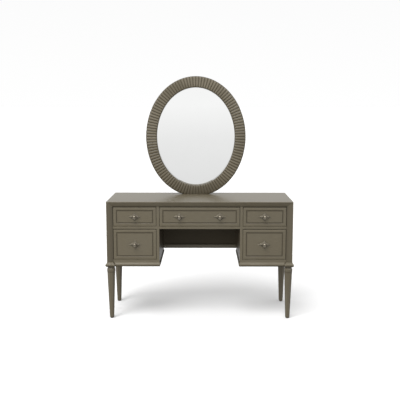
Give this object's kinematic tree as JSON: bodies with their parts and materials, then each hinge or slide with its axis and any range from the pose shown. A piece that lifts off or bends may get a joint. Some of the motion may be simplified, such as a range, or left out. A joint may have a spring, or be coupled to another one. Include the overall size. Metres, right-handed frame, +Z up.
{
  "type": "vanity table with mirror",
  "caption": "Kneehole vanity table with inset drawers, tapered eight-sided legs and an upright oval mirror in a wide frame.",
  "frame": {"origin": "centre of the whole table's box in plan, at floor level", "axes": "+Z up to the top of the mirror, -Y the way the drawers open, +X to the right of a person who faces the mirror"},
  "size_m": [1.239, 0.499, 1.607],
  "materials": {
    "lacquered_wood": "satin greige lacquer over close-grained wood",
    "drawer_wood": "clear matt lacquer",
    "pull_metal": "aged champagne, soft sheen",
    "mirror_glass": "silvered glass",
    "backing_board": "matt black board",
    "bracket_steel": "black powder coat",
    "screw_steel": "zinc plated",
    "glide_plastic": "moulded"
  },
  "bodies": {
    "case": {"top_panel": "lacquered_wood", "top_rail": "lacquered_wood", "front_leg_left": "lacquered_wood", "front_leg_right": "lacquered_wood", "rear_leg_left": "lacquered_wood", "rear_leg_right": "lacquered_wood", "side_panel_left": "lacquered_wood", "side_panel_right": "lacquered_wood", "inner_panel_left": "lacquered_wood", "inner_panel_right": "lacquered_wood", "back_panel": "lacquered_wood", "kneehole_rail": "lacquered_wood", "divider_left": "lacquered_wood", "divider_center": "lacquered_wood", "divider_right": "lacquered_wood", "bottom_panel_left": "lacquered_wood", "bottom_panel_right": "lacquered_wood", "post_cap_left": "lacquered_wood", "post_cap_right": "lacquered_wood", "base_moulding_left": "lacquered_wood", "base_moulding_right": "lacquered_wood", "drawer_guides": "drawer_wood", "leg_glides": "glide_plastic", "mirror_frame": "lacquered_wood", "mirror_glass": "mirror_glass", "mirror_backing": "backing_board", "mirror_bracket_left": "bracket_steel", "mirror_bracket_right": "bracket_steel", "bracket_screws": "screw_steel"},
    "drawer_upper_left": {"upper_left_front": "lacquered_wood", "upper_left_side_left": "drawer_wood", "upper_left_side_right": "drawer_wood", "upper_left_back": "drawer_wood", "upper_left_bottom": "drawer_wood", "upper_left_pull": "pull_metal"},
    "drawer_center": {"center_front": "lacquered_wood", "center_side_left": "drawer_wood", "center_side_right": "drawer_wood", "center_back": "drawer_wood", "center_bottom": "drawer_wood", "center_pull": "pull_metal"},
    "drawer_upper_right": {"upper_right_front": "lacquered_wood", "upper_right_side_left": "drawer_wood", "upper_right_side_right": "drawer_wood", "upper_right_back": "drawer_wood", "upper_right_bottom": "drawer_wood", "upper_right_pull": "pull_metal"},
    "drawer_lower_left": {"lower_left_front": "lacquered_wood", "lower_left_side_left": "drawer_wood", "lower_left_side_right": "drawer_wood", "lower_left_back": "drawer_wood", "lower_left_bottom": "drawer_wood", "lower_left_pull": "pull_metal"},
    "drawer_lower_right": {"lower_right_front": "lacquered_wood", "lower_right_side_left": "drawer_wood", "lower_right_side_right": "drawer_wood", "lower_right_back": "drawer_wood", "lower_right_bottom": "drawer_wood", "lower_right_pull": "pull_metal"}
  },
  "joints": [
    {"name": "upper_left_slide", "type": "slide", "parent": "case", "child": "drawer_upper_left", "axis": [0, -1, 0], "range_m": [0, 0.3]},
    {"name": "center_slide", "type": "slide", "parent": "case", "child": "drawer_center", "axis": [0, -1, 0], "range_m": [0, 0.3]},
    {"name": "upper_right_slide", "type": "slide", "parent": "case", "child": "drawer_upper_right", "axis": [0, -1, 0], "range_m": [0, 0.3]},
    {"name": "lower_left_slide", "type": "slide", "parent": "case", "child": "drawer_lower_left", "axis": [0, -1, 0], "range_m": [0, 0.3]},
    {"name": "lower_right_slide", "type": "slide", "parent": "case", "child": "drawer_lower_right", "axis": [0, -1, 0], "range_m": [0, 0.3]}
  ]
}
